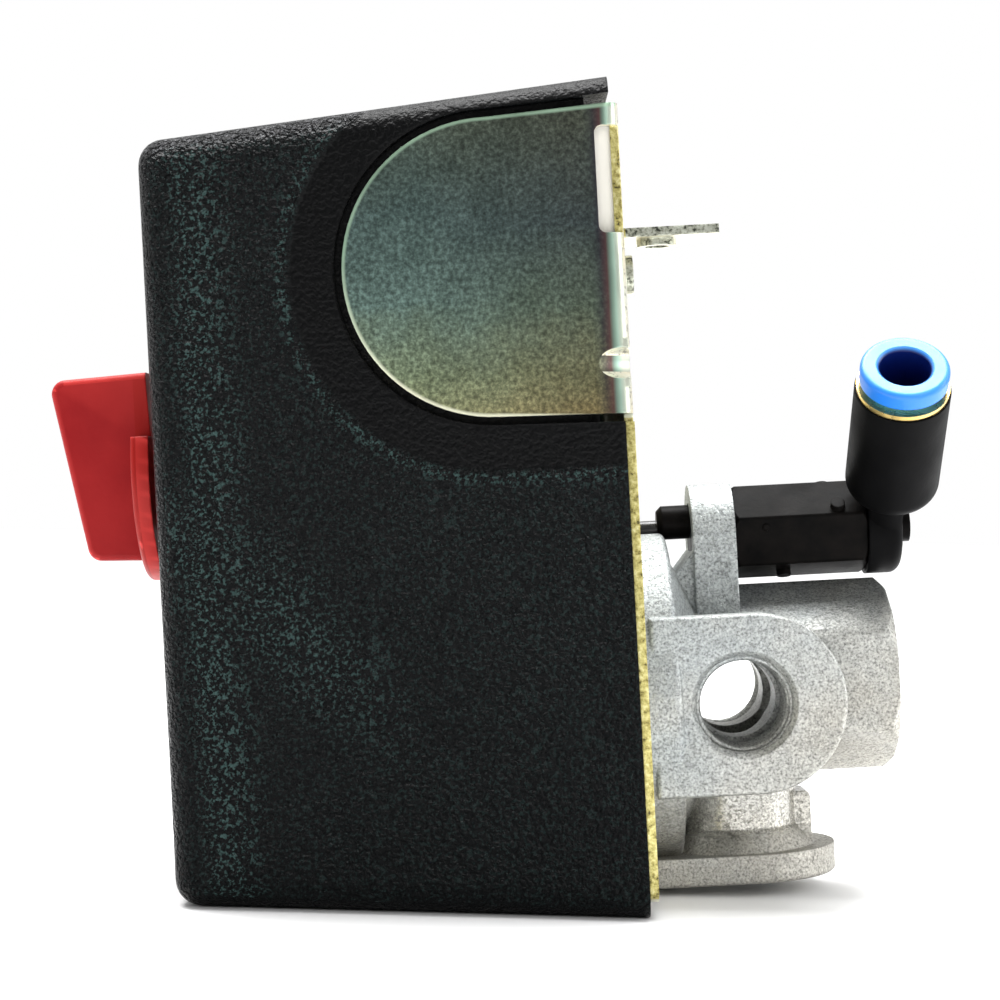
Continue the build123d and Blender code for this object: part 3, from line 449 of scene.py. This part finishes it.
def thread(name, place, axis, root, crest, pitch, long, look, body, taper=0.0):
    """Helical ridge inside a hole, from place against axis for its length. Root sits in the wall."""
    out = Vector(axis).normalized()
    across = out.orthogonal().normalized()
    other = out.cross(across)
    steps = 56
    count = int(steps * (long / pitch - 1))
    section = ((root, -0.5), (crest, -0.08), (crest, 0.08), (root, 0.5))
    verts, faces = [], []
    for i in range(count + 1):
        angle = 2 * math.pi * i / steps
        depth = pitch * (i / steps + 0.5)
        spoke = across * math.cos(angle) + other * math.sin(angle)
        fade = min(1.0, i / (steps * 0.6), (count - i) / (steps * 0.6))
        for radius, along in section:
            if radius == crest:
                radius = root + (crest - root) * fade - taper * depth * fade
            verts.append(Vector(place) + spoke * radius - out * (depth + along * pitch))
    size = len(section)
    for i in range(count):
        for k in range(size):
            a, b = i * size + k, i * size + (k + 1) % size
            faces.append((a, b, b + size, a + size))
    faces.append(tuple(range(size))[::-1])
    faces.append(tuple(count * size + k for k in range(size)))
    return piece(name, verts, faces, look, body)


def mouth(mount, along):
    """Point on a mount's axis, moved out along it by a distance."""
    return Vector(MOUNTS[mount]["pos_m"]) + Vector(MOUNTS[mount]["axis"]) * along


NPT = (6.52 * MM, 5.82 * MM, 1.411 * MM)      # root, crest and pitch of the pipe threads
NPT_TAPER = 0.012
SMALL = (1.655 * MM, 1.42 * MM, 0.7 * MM)     # root, crest and pitch of the tapped collars
PIPE_THREADS = (("thread_tank", "tank_port", (1, 0, 0), -0.0006, 0.0128),
                ("thread_front", "side_port_front", (0, -1, 0), 0.0054, 0.0108),
                ("thread_rear", "side_port_rear", (0, 1, 0), 0.0054, 0.0108),
                ("thread_bottom", "side_port_bottom", (0, 0, -1), 0.0058, 0.0108))
for name, port, out, start, long in PIPE_THREADS:
    thread(name, mouth(port, start), out, *NPT, long, "die_cast", "frame", NPT_TAPER)
thread("thread_tab", mouth("tab_hole", 0.0011), (0, 0, 1), *SMALL, 0.0022, "zinc_yellow", "frame")
thread("thread_earth", mouth("earth_hole_front", 0.0012), (1, 0, 0), *SMALL, 0.0024, "zinc_yellow", "frame")
LINER_X, LINER_Y, LINER_Z = (-0.0399, -0.0369), (-0.0279, -0.0274), (0.0604, 0.0766)


def liner():
    """Pale insulating strip on the base plate's inner side, behind the notch in the near bend."""
    verts = [(x, y, z) for x in LINER_X for y in LINER_Y for z in LINER_Z]
    faces = [(0, 1, 3, 2), (4, 6, 7, 5), (0, 4, 5, 1), (2, 3, 7, 6), (0, 2, 6, 4), (1, 5, 7, 3)]
    piece("notch_liner", verts, faces, "carriage_plastic", "frame", smooth=False)


liner()


# ---- stage, light and camera ----------------------------------------------------
CLOSED_FACE_RISE = 0.0043    # height of the closed face's lower edge above the rim's
FLOOR_GAP = 0.00005
FLOOR_HALF = 3.0


def floor():
    """Pale floor through the two lowest edges of the cover, seen nearly edge-on."""
    low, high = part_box("cover")
    slope = math.atan2(CLOSED_FACE_RISE, high.x - low.x)
    mesh = bpy.data.meshes.new("floor")
    corners = [(x * FLOOR_HALF, y * FLOOR_HALF, 0) for x, y in ((-1, -1), (1, -1), (1, 1), (-1, 1))]
    mesh.from_pydata([Vector(c) for c in corners], [], [(0, 1, 2, 3)])
    made = bpy.data.objects.new("floor", mesh)
    bpy.context.scene.collection.objects.link(made)
    made.matrix_world = (Matrix.Translation((high.x, 0, low.z - FLOOR_GAP))
                         @ Matrix.Rotation(slope, 4, "Y"))
    pale = material("floor_pale", varied((0.90, 0.90, 0.90), (0.93, 0.93, 0.93), 2.0), 0.7)
    mesh.materials.append(pale)


def softbox(name, place, aim, width, height, power):
    data = bpy.data.lights.new(name, "AREA")
    data.shape, data.size, data.size_y, data.energy = "RECTANGLE", width, height, power
    made = bpy.data.objects.new(name, data)
    made.location = place
    made.rotation_euler = (Vector(aim) - Vector(place)).to_track_quat("-Z", "Y").to_euler()
    bpy.context.scene.collection.objects.link(made)


LENS, SENSOR, ROLL = 83.7, 36.0, math.radians(3.0)
CAMERA_PLACE = (-0.0537, -0.332, 0.0273)


def camera():
    """Long lens on the object's side, rolled three degrees."""
    data = bpy.data.cameras.new("camera")
    data.lens, data.sensor_width = LENS, SENSOR
    data.clip_start, data.clip_end = 0.01, 20.0
    made = bpy.data.objects.new("camera", data)
    right, up = (math.cos(ROLL), math.sin(ROLL), 0), (-math.sin(ROLL), math.cos(ROLL), 0)
    turn = Matrix((right, (0, 0, -1), up))
    made.matrix_world = Matrix.Translation(CAMERA_PLACE) @ turn.to_4x4()
    bpy.context.scene.collection.objects.link(made)
    bpy.context.scene.camera = made


floor()
camera()
CENTRE = (-0.055, 0.0, 0.02)
softbox("overhead", (-0.06, 0.12, 0.75), CENTRE, 0.8, 0.4, 13.0)
softbox("front_fill", (0.35, -0.75, 0.45), CENTRE, 0.4, 0.4, 2.0)
softbox("right_strip", (0.65, -0.10, 0.15), CENTRE, 0.3, 0.6, 2.5)


def studio():
    """White backdrop; the room that lights the part is darker in front than above and beside."""
    world = bpy.data.worlds.new("studio")
    world.use_nodes = True
    tree = world.node_tree
    toward = node(tree, "ShaderNodeTexCoord").outputs["Generated"]
    parts = node(tree, "ShaderNodeSeparateXYZ", {0: toward}).outputs
    front, above = (maths(tree, "MULTIPLY_ADD", parts[k], 0.5, 0.5) for k in (1, 2))
    front = ramp(tree, front, [(0.0, 0.13), (0.35, 0.42), (0.75, 1.0)])
    above = ramp(tree, above, [(0.2, 0.65), (0.55, 1.0), (0.9, 1.3)])
    room = mix(tree, 1.0, front, above, "MULTIPLY")
    seen = node(tree, "ShaderNodeLightPath").outputs["Is Camera Ray"]
    shade = mix(tree, seen, room, (1.0, 1.0, 1.0))
    tree.links.new(shade, tree.nodes["Background"].inputs["Color"])
    bpy.context.scene.world = world


def sky_light():
    """Wide soft light from above, even over the whole floor."""
    data = bpy.data.lights.new("sky", "SUN")
    data.energy, data.angle = 1.6, math.radians(40)
    made = bpy.data.objects.new("sky", data)
    made.rotation_euler = (math.radians(-12), 0, 0)
    bpy.context.scene.collection.objects.link(made)


studio()
sky_light()
bpy.context.scene.view_settings.view_transform = "Standard"
